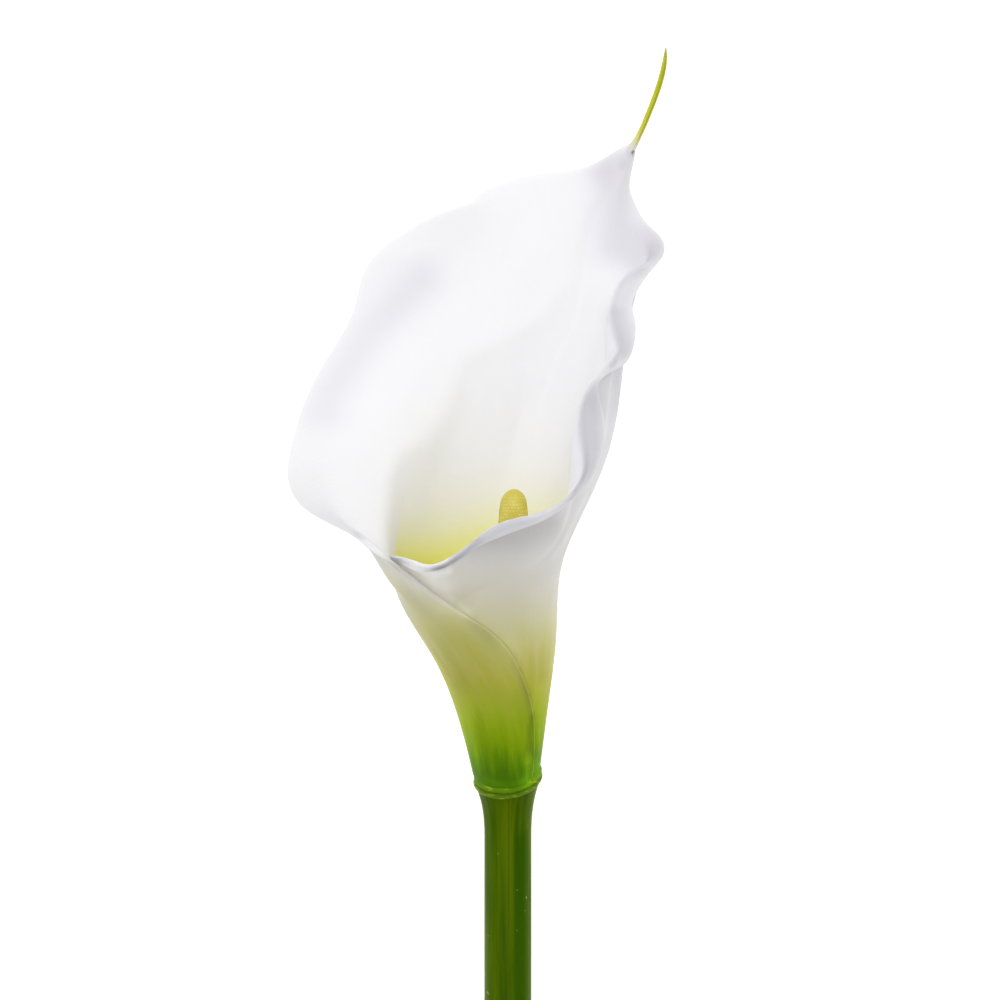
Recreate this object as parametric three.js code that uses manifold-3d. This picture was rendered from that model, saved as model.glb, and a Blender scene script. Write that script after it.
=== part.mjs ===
// Calla lily: a cut flower lying on its back, with its funnel open upward.
// Millimetres. X runs across the flower, Y along the stem to the tip of the spathe, Z is up.
// It is drawn about the middle of its collar, then moved so that it rests on Z = 0.
import * as THREE from 'three';
import { mergeVertices } from 'three/addons/utils/BufferGeometryUtils.js';
import Module from 'manifold-3d';

const wasm = await Module();
wasm.setup();

// ---- Driving dimensions: millimetres and degrees ----

// Stem
const STEM_LENGTH = 210; // collar to cut end
const STEM_RADIUS = 5.65;
const STEM_LEAN = 8.85; // rise from the cut end to the collar
const STEM_FLARE_START = -13; // the stem widens from here up to the collar
const STEM_FLARE_POWER = 2.5;
const STEM_TOP_RADIUS = 7.9;
const CUT_SLANT = 20; // the knife's slant across the lower end
const SEAT_GAP = 0.3; // between pieces that touch

// Collar, the oblique bead where the spathe joins the stem
const COLLAR_RADIUS = 7; // centre line of the bead
const COLLAR_HALF_WIDTH = 1.35;
const COLLAR_HALF_HEIGHT = 1.5;
const COLLAR_HEIGHT = 2.1; // height of its centre at the sides
const COLLAR_DROP = 0.47; // fall of its plane toward the front, per millimetre of Z
const COLLAR_SKEW = 0.1; // rise of its plane per millimetre of X

// Spathe, one sheet rolled from FIRST_TURN round the back to LAST_TURN, so that it overlaps in front.
// A turn of 0 is the front (+Z), 90 the -X side, 180 the back and 270 the +X side.
const SHEET_THICKNESS = 1;
const MARGIN_THICKNESS = 0.7;
const FIRST_TURN = -50; // the outer edge of the roll
const LAST_TURN = 400; // the inner edge, tucked under the outer one
const ROLL_SPREAD = [0.85, 0.9]; // the outer edge stands out by this at the collar and the throat
const TUBE_RADIUS = [7, 0.15, 0.0024]; // powers of the height
const TUBE_BEND = [0, -0.01, -0.0029]; // sideways drift of the tube, powers of the height

// Spadix, the finger inside the funnel
const SPADIX_DRIFT = 1.4; // sideways, at its tip
const SPADIX_PROFILE = [ // height, radius
  [8, 3.6], [22, 4], [42, 4.1], [58, 3.75], [63.6, 3.5], [66, 3.35], [68.4, 2.95], [69.6, 2.4],
  [70.3, 1.75], [70.8, 0.95], [71, 0.3],
];

// Throat, the top of the plain tube: turn at the collar, turn here, height
const THROAT = [
  [-50, -16, 32], [-20, 19, 35], [10, 57, 40], [45, 87, 45], [90, 121, 48], [135, 155, 50],
  [180, 186, 50], [225, 221, 51], [270, 262, 55], [310, 302, 49.5], [345, 344, 43.5],
  [375, 381, 39], [400, 412, 36],
];

// Wall, where the hollow bends over into the spread limb: turn, x, y, z
const WALL = [
  [-50, -9.8, 41.3, 24.1], [-20, -19.3, 44, 20.9], [5, -28.2, 50.2, 13], [30, -32, 60.5, 9],
  [52, -30, 70.5, 5], [75, -26, 79, 0], [95, -20.5, 85, -5], [120, -14.5, 93.5, -10.5],
  [145, -8, 102.5, -15], [170, 1, 108.5, -19], [195, 10, 113.5, -21.5], [218, 17.5, 115.5, -21.5],
  [236, 23, 113, -18.5], [252, 24.4, 105, -12.6], [268, 26.4, 96, -5.8], [284, 25, 86, 0.8],
  [298, 21.4, 78, 8.2], [310, 17.4, 70.5, 14.8], [324, 13.3, 62.5, 21], [342, 7.6, 56, 25.2],
  [360, -1, 52, 27.2], [378, -11, 47, 24], [390, -15.8, 43.6, 20.1], [400, -19, 42.4, 16.8],
];

// Crest, the ridge that the rim rolls over: turn, x, y, z
const CREST = [
  [-50, -20.3, 48.7, 23.2], [-20, -25.8, 51.4, 19.7], [5, -32.5, 58.2, 12.6], [25, -40, 64, 8.4],
  [42, -44, 71, 4.5], [60, -45, 79, 1], [78, -42.5, 88, -3], [96, -38.5, 97, -7.5],
  [112, -35.5, 106.5, -13], [126, -34, 116, -19], [140, -32.8, 125.8, -26], [154, -27.5, 132.3, -31],
  [168, -17.8, 138.7, -32.5], [178, -8.5, 140.5, -31.5], [190, 3, 139, -30.5], [204, 13, 141, -30.5],
  [214, 21.5, 143.5, -31.8], [222, 26.5, 145, -32.8], [232, 28.6, 141, -32.8],
  [244, 31.8, 134.5, -31.2], [254, 33.8, 129.5, -28.5], [262, 33.6, 125.6, -25], [268, 31, 123.4, -20.5],
  [274, 28.2, 121.8, -16], [281, 25.8, 118, -11], [288, 24.5, 112, -5.5], [294, 25, 107.5, -1],
  [300, 26, 103.4, 3], [305, 23.8, 100.2, 6], [310, 19.6, 95, 10], [316, 16.7, 88.5, 14.5],
  [322, 16.4, 82.5, 18.5], [329, 17.3, 76.3, 22.5], [337, 15, 70, 27],
  [345, 9.5, 65.8, 31], [355, 1.5, 63.7, 33.8], [364, -4.5, 61.3, 34.5], [372, -9.5, 57.3, 33.5],
  [380, -14.8, 53.9, 31], [388, -19.5, 53, 27.5], [394, -23.4, 54.4, 23], [400, -26.9, 55, 18.2],
];

// Margin, the free edge of the spathe: turn, x, y, z
const MARGIN = [
  [-50, -27.2, 54, 20.2], [-25, -30.4, 55.4, 17.2], [0, -34.5, 58.2, 12.6], [22, -40.9, 62, 5.6],
  [40, -49, 66.5, 0], [56, -52.9, 73, -4], [74, -52, 83, -8], [92, -49, 92.7, -11],
  [108, -44.5, 102, -15], [122, -38.5, 112.5, -20], [134, -36.2, 119.8, -27], [144, -33.2, 124.5, -33],
  [156, -26.5, 130.8, -37.5], [168, -15.8, 136.8, -38], [176, -8.8, 140.5, -37], [184, -5.4, 145, -36],
  [194, 1, 147, -36], [204, 11, 149.5, -36.5], [214, 22, 153, -37.3], [222, 31, 156, -37.5],
  [230, 30.4, 149.2, -37], [238, 31.2, 143, -36], [246, 34.1, 137.6, -34.5], [254, 37.6, 134, -32.5],
  [262, 38.5, 130.7, -29.5], [270, 36, 126.6, -24.5], [277, 33.6, 122.6, -19.5],
  [283, 31.7, 119.5, -14.5], [289, 30.1, 115.7, -10.2], [294, 30.8, 111.4, -6.6],
  [299, 30.4, 106.2, -3], [304, 28.4, 101.4, 2.2], [309, 24.4, 98.8, 7.4], [313, 21.4, 95.4, 9.8],
  [317, 22.2, 90.4, 10.4], [321, 22.9, 85.2, 11.8], [325, 22.2, 80.4, 14], [330, 20.6, 75.8, 17.2],
  [335, 18.3, 72, 22.4],
  [341, 14, 67.6, 28.6], [348, 9, 64, 32.3], [356, 3.8, 61.9, 33.8], [364, -2.4, 59.6, 34.8],
  [371, -7.5, 57.2, 33.9], [378, -12.4, 53.9, 31.5], [384, -18, 51.7, 28.2], [390, -21.6, 51.8, 25.5],
  [395, -24.2, 52.9, 21.8], [400, -27, 53.9, 17.4],
];

// Places of the collar, two rings of the tube, the throat, wall, crest and margin along a rib
const ROW_PLACES = [0, 0.14, 0.28, 0.42, 0.66, 0.88, 1];

// Tail, the rolled tip of the spathe: x, y, z, radius
const TAIL = [
  [28.2, 150.8, -35.9, 0.45], [29.8, 153.9, -36.9, 0.95], [31, 156.2, -37, 1.2],
  [32.4, 158.6, -36.8, 0.95], [34.2, 162.4, -35.3, 0.87], [37, 169.9, -31.5, 0.85],
  [38.5, 175.8, -28, 0.7], [38.9, 179.2, -25.5, 0.2],
];

// Fineness
const SHEET_COLUMNS = 92;
const SHEET_ROWS = 15;
const ROW_CROWDING = 0.35; // rows lie closer together toward the margin
const MARGIN_POWER = 4; // the thickness changes mostly near the margin
const ROUND_SIDES = 28;
const FLARE_RINGS = 4;
const COLLAR_SIDES = 8;
const TAIL_SIDES = 10;
const TAIL_RINGS = 14;

// ---- Curves ----

const radians = THREE.MathUtils.degToRad;

function polynomial(factors, value) {
  return factors.reduce((sum, factor, power) => sum + factor * value ** power, 0);
}

// Second derivatives of the natural cubic spline through values at places.
function splineBends(places, values) {
  const last = places.length - 1;
  const bends = new Array(places.length).fill(0);
  const carry = new Array(places.length).fill(0);
  for (let i = 1; i < last; i++) {
    const before = places[i] - places[i - 1];
    const after = places[i + 1] - places[i];
    const pull = (values[i + 1] - values[i]) / after - (values[i] - values[i - 1]) / before;
    const scale = 2 * (before + after) - before * carry[i - 1];
    carry[i] = after / scale;
    bends[i] = (6 * pull - before * bends[i - 1]) / scale;
  }
  for (let i = last - 1; i > 0; i--) {
    bends[i] -= carry[i] * bends[i + 1];
  }
  return bends;
}

// The natural cubic spline through values at places, as a function of the place.
function spline(places, values) {
  const bends = splineBends(places, values);
  return (place) => {
    let k = 0;
    while (k < places.length - 2 && place > places[k + 1]) {
      k += 1;
    }
    const step = places[k + 1] - places[k];
    const b = (place - places[k]) / step;
    const a = 1 - b;
    const curve = (a ** 3 - a) * bends[k] + (b ** 3 - b) * bends[k + 1];
    return a * values[k] + b * values[k + 1] + (curve * step * step) / 6;
  };
}

// A table whose rows are a place and its values, as a function that gives all the values.
function guide(table) {
  const places = table.map((row) => row[0]);
  const splines = table[0].slice(1).map((_, i) => spline(places, table.map((row) => row[i + 1])));
  return (place) => splines.map((value) => value(place));
}

// ---- Shared places ----

// The middle of the tube and the stem at a height; it bends sideways above the collar.
function axis(height) {
  const bend = height > 0 ? polynomial(TUBE_BEND, height) : 0;
  return new THREE.Vector3(bend, height, height * Math.tan(radians(STEM_LEAN)));
}

// The collar's oblique plane: its height over a point.
function collarPlane(x, z) {
  return COLLAR_HEIGHT - COLLAR_DROP * z + COLLAR_SKEW * x;
}

// A point on a ring round the axis; its height may follow the turn.
function ringPoint(centre, turn, radius) {
  const angle = radians(turn);
  return centre.clone().add(new THREE.Vector3(-radius * Math.sin(angle), 0, radius * Math.cos(angle)));
}

// ---- Closed bodies ----

function geometryFrom(points, triangles) {
  const geometry = new THREE.BufferGeometry();
  geometry.setAttribute('position', new THREE.Float32BufferAttribute(points.flatMap((p) => p.toArray()), 3));
  geometry.setIndex(triangles.flat());
  return geometry;
}

// A body through rings of points that follow each other up the flower, closed at both ends by a fan.
function loft(rings) {
  const sides = rings[0].length;
  const points = rings.flat();
  const triangles = [];
  for (let r = 0; r < rings.length - 1; r++) {
    for (let s = 0; s < sides; s++) {
      const next = (s + 1) % sides;
      const [a, b] = [r * sides + s, r * sides + next];
      const [c, d] = [a + sides, b + sides];
      triangles.push([a, c, b], [b, c, d]);
    }
  }
  const middle = (ring) => ring.reduce((sum, p) => sum.add(p), new THREE.Vector3()).divideScalar(sides);
  const first = points.push(middle(rings[0])) - 1;
  const last = points.push(middle(rings[rings.length - 1])) - 1;
  const top = (rings.length - 1) * sides;
  for (let s = 0; s < sides; s++) {
    const next = (s + 1) % sides;
    triangles.push([first, s, next], [last, top + next, top + s]);
  }
  return geometryFrom(points, triangles);
}

function ringTurns(sides) {
  return Array.from({ length: sides }, (_, i) => (360 * i) / sides);
}

// ---- Stem ----

function stemRing(height, radius) {
  return ringTurns(ROUND_SIDES).map((turn) => ringPoint(axis(height), turn, radius));
}

function cutRing() {
  return stemRing(-STEM_LENGTH, STEM_RADIUS).map((p) => {
    const above = p.z - axis(-STEM_LENGTH).z;
    return p.setY(p.y + above * Math.tan(radians(CUT_SLANT)));
  });
}

// The height at which a line along the leaning stem comes within drop of the collar's plane.
function seatHeight(turn, radius, drop) {
  const p = ringPoint(axis(0), turn, radius);
  return (collarPlane(p.x, p.z) - drop) / (1 + COLLAR_DROP * Math.tan(radians(STEM_LEAN)));
}

// A ring of the flare, from its start (part 0) to the oblique seat under the collar (part 1).
function flareRing(part) {
  const radius = THREE.MathUtils.lerp(STEM_RADIUS, STEM_TOP_RADIUS, part ** STEM_FLARE_POWER);
  return ringTurns(ROUND_SIDES).map((turn) => {
    const seat = seatHeight(turn, STEM_TOP_RADIUS, COLLAR_HALF_HEIGHT + SEAT_GAP);
    const height = THREE.MathUtils.lerp(STEM_FLARE_START, seat, part);
    return ringPoint(axis(height), turn, radius);
  });
}

function stemGeometry() {
  const flare = Array.from({ length: FLARE_RINGS }, (_, i) => flareRing((i + 1) / FLARE_RINGS));
  return loft([cutRing(), stemRing(STEM_FLARE_START, STEM_RADIUS), ...flare]);
}

// ---- Spadix ----

function spadixGeometry() {
  const tip = SPADIX_PROFILE[SPADIX_PROFILE.length - 1][0];
  const footRadius = SPADIX_PROFILE[0][1];
  const foot = ringTurns(ROUND_SIDES).map((turn) => (
    ringPoint(axis(seatHeight(turn, footRadius, COLLAR_HALF_HEIGHT)), turn, footRadius)
  ));
  const rings = SPADIX_PROFILE.map(([height, radius]) => {
    const centre = new THREE.Vector3((SPADIX_DRIFT * height) / tip, height, axis(height).z);
    return ringTurns(ROUND_SIDES).map((turn) => ringPoint(centre, turn, radius));
  });
  return loft([foot, ...rings]);
}

// ---- Spathe ----

const throatGuide = guide(THROAT);
const wallGuide = guide(WALL);
const crestGuide = guide(CREST);
const marginGuide = guide(MARGIN);

// A point of the tube's sheet, from the collar (part 0) up to the throat (part 1).
function tubePoint(turn, part) {
  const [throatTurn, throatHeight] = throatGuide(turn);
  const here = turn + (throatTurn - turn) * part * part;
  const outward = 1 - (2 * (turn - FIRST_TURN)) / (LAST_TURN - FIRST_TURN);
  const spread = THREE.MathUtils.lerp(...ROLL_SPREAD, part) * outward;
  const base = ringPoint(axis(0), here, COLLAR_RADIUS);
  const height = THREE.MathUtils.lerp(collarPlane(base.x, base.z), throatHeight, part);
  return ringPoint(axis(height), here, polynomial(TUBE_RADIUS, height) + spread);
}

// One rib of the sheet, from the collar to the margin.
function rib(turn, places) {
  const knots = [
    tubePoint(turn, 0).toArray(),
    tubePoint(turn, 1 / 3).toArray(),
    tubePoint(turn, 2 / 3).toArray(),
    tubePoint(turn, 1).toArray(),
    wallGuide(turn),
    crestGuide(turn),
    marginGuide(turn),
  ];
  const along = guide(knots.map((knot, i) => [ROW_PLACES[i], ...knot]));
  return places.map((place) => new THREE.Vector3(...along(place)));
}

// The sheet's middle surface as ribs of points.
function middleSurface() {
  const places = Array.from({ length: SHEET_ROWS }, (_, i) => {
    const even = i / (SHEET_ROWS - 1);
    return even * (1 + ROW_CROWDING * (1 - even));
  });
  return Array.from({ length: SHEET_COLUMNS }, (_, i) => {
    const turn = THREE.MathUtils.lerp(FIRST_TURN, LAST_TURN, i / (SHEET_COLUMNS - 1));
    return rib(turn, places);
  });
}

function surfaceNormal(ribs, i, j) {
  const lastRib = ribs.length - 1;
  const lastRow = ribs[0].length - 1;
  const across = ribs[Math.min(i + 1, lastRib)][j].clone().sub(ribs[Math.max(i - 1, 0)][j]);
  const along = ribs[i][Math.min(j + 1, lastRow)].clone().sub(ribs[i][Math.max(j - 1, 0)]);
  return along.cross(across).normalize();
}

// The sheet with its thickness: an outer and an inner skin, joined round the border.
function sheetGeometry() {
  const ribs = middleSurface();
  const rows = ribs[0].length;
  const thickness = (j) => (
    THREE.MathUtils.lerp(SHEET_THICKNESS, MARGIN_THICKNESS, (j / (rows - 1)) ** MARGIN_POWER)
  );
  const skin = (side) => ribs.flatMap((points, i) => points.map((p, j) => (
    p.clone().addScaledVector(surfaceNormal(ribs, i, j), (side * thickness(j)) / 2)
  )));
  const points = [...skin(1), ...skin(-1)];
  const outer = (i, j) => i * rows + j;
  const inner = (i, j) => ribs.length * rows + outer(i, j);
  const triangles = [];
  const quad = (a, b, c, d) => triangles.push([a, b, c], [a, c, d]);
  for (let i = 0; i < ribs.length - 1; i++) {
    for (let j = 0; j < rows - 1; j++) {
      quad(outer(i, j), outer(i, j + 1), outer(i + 1, j + 1), outer(i + 1, j));
      quad(inner(i, j), inner(i + 1, j), inner(i + 1, j + 1), inner(i, j + 1));
    }
    quad(outer(i, 0), outer(i + 1, 0), inner(i + 1, 0), inner(i, 0));
    quad(outer(i + 1, rows - 1), outer(i, rows - 1), inner(i, rows - 1), inner(i + 1, rows - 1));
  }
  const end = ribs.length - 1;
  for (let j = 0; j < rows - 1; j++) {
    quad(outer(0, j + 1), outer(0, j), inner(0, j), inner(0, j + 1));
    quad(outer(end, j), outer(end, j + 1), inner(end, j + 1), inner(end, j));
  }
  return geometryFrom(points, triangles);
}

// The bead that binds the roll together and sits on the stem.
function collarGeometry() {
  const turns = ringTurns(ROUND_SIDES);
  const points = turns.flatMap((turn) => ringTurns(COLLAR_SIDES).map((section) => {
    const radius = COLLAR_RADIUS + COLLAR_HALF_WIDTH * Math.cos(radians(section));
    const p = ringPoint(axis(0), turn, radius);
    return p.setY(collarPlane(p.x, p.z) + COLLAR_HALF_HEIGHT * Math.sin(radians(section)));
  }));
  const triangles = [];
  for (let t = 0; t < turns.length; t++) {
    for (let s = 0; s < COLLAR_SIDES; s++) {
      const here = t * COLLAR_SIDES;
      const there = ((t + 1) % turns.length) * COLLAR_SIDES;
      const [a, b] = [here + s, here + ((s + 1) % COLLAR_SIDES)];
      const [c, d] = [there + s, there + ((s + 1) % COLLAR_SIDES)];
      triangles.push([a, b, d], [a, d, c]);
    }
  }
  return geometryFrom(points, triangles);
}

function tailGeometry() {
  const shape = guide(TAIL.map((row, i) => [i / (TAIL.length - 1), ...row]));
  const rings = Array.from({ length: TAIL_RINGS }, (_, i) => {
    const [x, y, z, radius] = shape(i / (TAIL_RINGS - 1));
    return ringTurns(TAIL_SIDES).map((turn) => ringPoint(new THREE.Vector3(x, y, z), turn, radius));
  });
  return loft(rings);
}

// ---- Joining ----

function toManifold(geometry) {
  const merged = mergeVertices(geometry);
  return new wasm.Manifold(new wasm.Mesh({
    numProp: 3,
    vertProperties: new Float32Array(merged.attributes.position.array),
    triVerts: new Uint32Array(merged.index.array),
  }));
}

function toGeometry(solid) {
  const mesh = solid.getMesh();
  const geometry = new THREE.BufferGeometry();
  geometry.setAttribute('position', new THREE.BufferAttribute(mesh.vertProperties, 3));
  geometry.setIndex(new THREE.BufferAttribute(mesh.triVerts, 1));
  return geometry;
}

function spatheGeometry() {
  const solids = [sheetGeometry(), collarGeometry(), tailGeometry()].map(toManifold);
  return toGeometry(solids.reduce((joined, solid) => joined.add(solid)));
}

// ---- The flower ----

function piece(name, geometry, color, roughness) {
  geometry.computeVertexNormals();
  const material = new THREE.MeshStandardMaterial({ color, roughness, metalness: 0 });
  const mesh = new THREE.Mesh(geometry, material);
  mesh.name = name;
  return mesh;
}

const flower = new THREE.Group();
flower.add(piece('stem', stemGeometry(), 0x4c6a0a, 0.5));
flower.add(piece('spathe', spatheGeometry(), 0xf3f1ee, 0.45));
flower.add(piece('spadix', spadixGeometry(), 0xcdbf61, 0.8));

const box = new THREE.Box3().setFromObject(flower);
const middle = box.getCenter(new THREE.Vector3());
flower.position.set(-middle.x, -middle.y, -box.min.z);

export default flower;
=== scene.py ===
# A cut calla lily lying on its back on a white studio table, seen from straight above.
# The flower is drawn in millimetres in its own frame, as the CAD part is: X across, Y along the stem
# to the tip of the spathe, Z up, with the origin in the middle of the collar. flower() gives the same
# place in the row frame, in metres.
import math

import bmesh
import bpy
import numpy as np
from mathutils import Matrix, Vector, noise
from mathutils.kdtree import KDTree


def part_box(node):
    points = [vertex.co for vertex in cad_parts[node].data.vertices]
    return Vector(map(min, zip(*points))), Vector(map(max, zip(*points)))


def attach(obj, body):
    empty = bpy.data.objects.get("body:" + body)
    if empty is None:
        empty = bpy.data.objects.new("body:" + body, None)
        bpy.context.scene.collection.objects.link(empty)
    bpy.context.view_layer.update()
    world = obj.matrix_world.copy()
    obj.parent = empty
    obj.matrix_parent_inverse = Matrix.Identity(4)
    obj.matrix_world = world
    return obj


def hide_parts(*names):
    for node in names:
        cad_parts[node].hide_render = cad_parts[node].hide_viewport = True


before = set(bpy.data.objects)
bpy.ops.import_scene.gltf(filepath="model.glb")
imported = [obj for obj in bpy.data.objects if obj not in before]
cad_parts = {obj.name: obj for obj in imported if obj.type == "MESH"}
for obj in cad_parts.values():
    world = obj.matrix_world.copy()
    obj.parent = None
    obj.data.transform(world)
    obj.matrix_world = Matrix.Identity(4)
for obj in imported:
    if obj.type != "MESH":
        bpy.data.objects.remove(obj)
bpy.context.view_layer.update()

MM = 0.001

# ---- Driving dimensions, in millimetres and degrees ----
# The plain sizes are the CAD part's, and so are the guides of the sheet, but for finer places along
# the margin, the lip, the side edges and the tip.

STEM_LENGTH = 210
STEM_RADIUS = 5.65
STEM_LEAN = 8.85
CUT_SLANT = 20

COLLAR_RADIUS = 7
COLLAR_HALF_WIDTH = 1.35
COLLAR_HALF_HEIGHT = 1.5
COLLAR_HEIGHT = 2.1
COLLAR_DROP = 0.47
COLLAR_SKEW = 0.1

SHEET_THICKNESS = 1
MARGIN_THICKNESS = 0.7
FIRST_TURN = -50
LAST_TURN = 400
ROLL_SPREAD = (0.85, 0.9)  # how far its ends stand off the mean radius, at the collar and the throat
TUBE_RADIUS = (7, 0.15, 0.0024)  # factors of the powers of the height
TUBE_BEND = (0, -0.01, -0.0029)

SPADIX_DRIFT = 1.4
SPADIX_PROFILE = [  # height, radius
    (8, 3.6), (22, 4), (42, 4.1), (58, 3.75), (63.6, 3.5), (66, 3.35), (68.4, 2.95), (69.6, 2.4),
    (70.3, 1.75), (70.8, 0.95), (71, 0.3),
]

# Throat, the top of the plain tube: turn at the collar, turn here, height
THROAT = [
    (-50, -16, 32), (-20, 19, 35), (10, 57, 40), (45, 87, 45), (90, 121, 48), (135, 155, 50),
    (180, 186, 50), (225, 221, 51), (270, 262, 55), (310, 302, 49.5), (345, 344, 43.5),
    (375, 381, 39), (400, 412, 36),
]

# Wall, where the hollow bends over into the spread limb: turn, x, y, z
WALL = [
    (-50, -9.8, 41.3, 23.3), (-20, -19.3, 44, 20.9), (5, -28.2, 50.2, 13), (30, -32, 60.5, 9),
    (52, -30, 70.5, 5), (75, -26, 79, 0), (95, -20.5, 85, -5), (120, -14.5, 93.5, -10.5),
    (145, -8, 102.5, -15), (170, 1, 108.5, -19), (195, 10, 113.5, -21.5), (218, 17.5, 115.5, -21.5),
    (236, 23, 113, -18.5), (252, 24.4, 105, -12.6), (268, 26.4, 96, -5.8), (284, 25, 86, 0.8),
    (298, 21.4, 78, 8.2), (310, 17.4, 70.5, 14.8), (324, 13.3, 62.5, 21), (342, 7.6, 56, 25.2),
    (360, -1, 52, 27.2), (378, -11, 47, 24), (390, -15.8, 43.6, 20.1), (400, -19, 42.4, 16.8),
]

# Crest, the ridge that the rim rolls over: turn, x, y, z
CREST = [
    (-50, -20.3, 48.7, 22.7), (-20, -25.8, 51.4, 19.7), (5, -32.5, 58.2, 12.6), (25, -40, 64, 8.4),
    (42, -44, 71, 4.5), (60, -45, 79, 1), (78, -42.5, 88, -3), (96, -38.5, 97, -7.5),
    (112, -35.5, 106.5, -13), (126, -34, 116, -19), (140, -32.8, 125.8, -26), (154, -27.5, 132.3, -31),
    (168, -17.8, 138.1, -32.5), (178, -8.5, 140.5, -31.5), (190, 3, 139, -30.5), (204, 13, 141, -30.5),
    (214, 21.5, 143.5, -31.8), (222, 26.5, 145, -32.8), (232, 28.6, 141, -32.8),
    (244, 31.8, 134.5, -31.2), (254, 33.8, 129.5, -28.5), (262, 33.6, 125.6, -25),
    (268, 31, 123.4, -20.5), (274, 28.2, 121.8, -16), (281, 25.8, 118, -11), (288, 24.5, 112, -5.5),
    (294, 25, 107.5, -1), (300, 26, 103.4, 3), (305, 23.8, 100.2, 6), (310, 19.6, 95, 10),
    (316, 16.7, 88.5, 14.5), (322, 16.4, 82.5, 18.5), (329, 17.3, 76.3, 22.5), (337, 15, 70, 27),
    (345, 9.5, 65.8, 31), (355, 1.5, 63.7, 33.8), (364, -4.5, 61.3, 34.5), (372, -9.5, 57.3, 33.5),
    (380, -14.8, 53.9, 31), (388, -19.5, 53, 27.5), (394, -23.6, 54.4, 22.9), (400, -27.6, 54.9, 17.6),
]

# Margin, the free edge of the spathe: turn, x, y, z
MARGIN = [
    (-50, -27.2, 54, 20.2), (-25, -30.4, 55.4, 17.2), (0, -34.5, 58.2, 12.6), (22, -40.9, 62, 5.6),
    (40, -49, 66.5, 0), (56, -52.9, 73, -4), (74, -52, 83, -8), (92, -49, 92.7, -11),
    (108, -44.5, 102, -15), (122, -38.5, 112.5, -20), (134, -36.2, 119.8, -27),
    (144, -33.2, 124.5, -33), (156, -26.5, 130.8, -37.5), (168, -15.8, 136.8, -38),
    (176, -9.4, 141, -37), (184, -7.2, 144.4, -36), (194, 1, 147.9, -36), (204, 11, 150.1, -36.5),
    (214, 22, 152.4, -37.3), (222, 31.3, 157.2, -37.3), (230, 30.4, 149.2, -37), (238, 31.2, 143, -36),
    (246, 34.1, 137.6, -34.5), (254, 37.6, 134, -32.5),
    (262, 38.8, 130.4, -29.5), (270, 36.8, 126.5, -24.8), (277, 33.6, 122.6, -19.5),
    (283, 31.7, 119.5, -14.5), (289, 30.1, 115.7, -10.2), (294, 30.8, 111.4, -6.6),
    (299, 30.4, 106.2, -3), (304, 28.4, 101.4, 2.2), (309, 24.4, 98.8, 7.4), (313, 21.4, 95.4, 9.8),
    (317, 22.2, 90.4, 10.4), (321, 22.9, 85.2, 11.8), (325, 22.2, 80.4, 14), (330, 20.6, 75.8, 17.2),
    (335, 18.3, 72, 22.4), (341, 14, 67.6, 28.6), (348, 9, 64, 32.3), (356, 3.8, 61.9, 33.8),
    (364, -2.4, 59.6, 34.8), (371, -7.5, 57.2, 33.9), (378, -12.4, 53.9, 31.5), (384, -18, 51.7, 28.2),
    (390, -21.6, 51.8, 25.5), (395, -24.4, 52.9, 21.6), (400, -27.7, 53.8, 16.8),
]

# Places of the collar, two rings of the tube, the throat, wall, crest and margin along a rib
ROW_PLACES = np.array([0, 0.14, 0.28, 0.42, 0.66, 0.88, 1])

# Tail, the rolled tip of the spathe: x, y, z, radius
TAIL = [
    (28.2, 150.8, -36.2, 0.6), (29.7, 153.7, -36.9, 1.15), (31, 156.2, -37, 1.2),
    (32.4, 158.6, -36.8, 0.88), (34.2, 162.4, -35.3, 0.79), (37.1, 169.9, -31.5, 0.77),
    (38.6, 175.8, -28, 0.63), (38.9, 179.6, -25.2, 0.18),
]

# ---- What only the looks need ----

# Camera: straight above, level with the middle of the bloom
CAMERA_HEIGHT = 1000
CAMERA_MIDDLE = (-1.9, 68.4)
CAMERA_LENS = 150
CAMERA_SENSOR = 36

# Fineness of the sheet
SHEET_COLUMNS = 400
BODY_ROWS = 96
ROW_CROWDING = 0.45  # rows lie closer together toward the margin
RIM_STEPS = (0.04, 0.12, 0.25, 0.45, 0.7)  # extra rows, this far in from the margin
RIM_ROOM = 1.2  # the plain rows stop short of the margin by this many times the deepest rim step
EDGE_STEPS = (0.12, 0.4, 0.9, 1.7, 2.8)  # extra columns, this many degrees in from the side edges
FINE_TURNS = 2001  # samples to measure lengths by, along the turns and along a rib
FINE_PLACES = 401
RIM_ROUNDNESS = 1.3  # half-width of the rounded rim, in half thicknesses
NORMAL_SOFTENING = 4  # passes

# The side edges of the roll thin out to a share of the thickness
EDGE_THINNING = 0.3
EDGE_THINNING_REACH = 6
INNER_FACE_REACH = (1, 4)  # the inner face takes on its own colours this far in from a side edge
EDGE_PRESS = 0.4  # the outer edge lies this much closer to the layer below, round the tube
EDGE_PRESS_TURNS = (-12, -50)

# Soft furrows and swells of the hollow and the limb: width, height, the line they follow (x, y)
RELIEF_TURNS = (25, 45), (275, 255)  # they come in at one side of the bloom and go out at the other
RELIEF_PLACES = (0.42, 0.55), (1, 0.86)  # and do so along each rib
RELIEF = [
    (1.7, -0.45, [(8, 92.7), (17.5, 114.8), (20.8, 137), (29, 152)]),  # midrib
    (9, -2.2, [(-37, 93), (-24, 113), (-4.5, 134)]),
    (3.2, 0.8, [(-28.5, 56), (-28.7, 73), (-25.9, 79.2), (-18.8, 82.9), (-14, 92.6), (-11.6, 102.4),
                (-4.3, 106.2), (7.9, 112.5), (12.8, 119.9)]),
]

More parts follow.
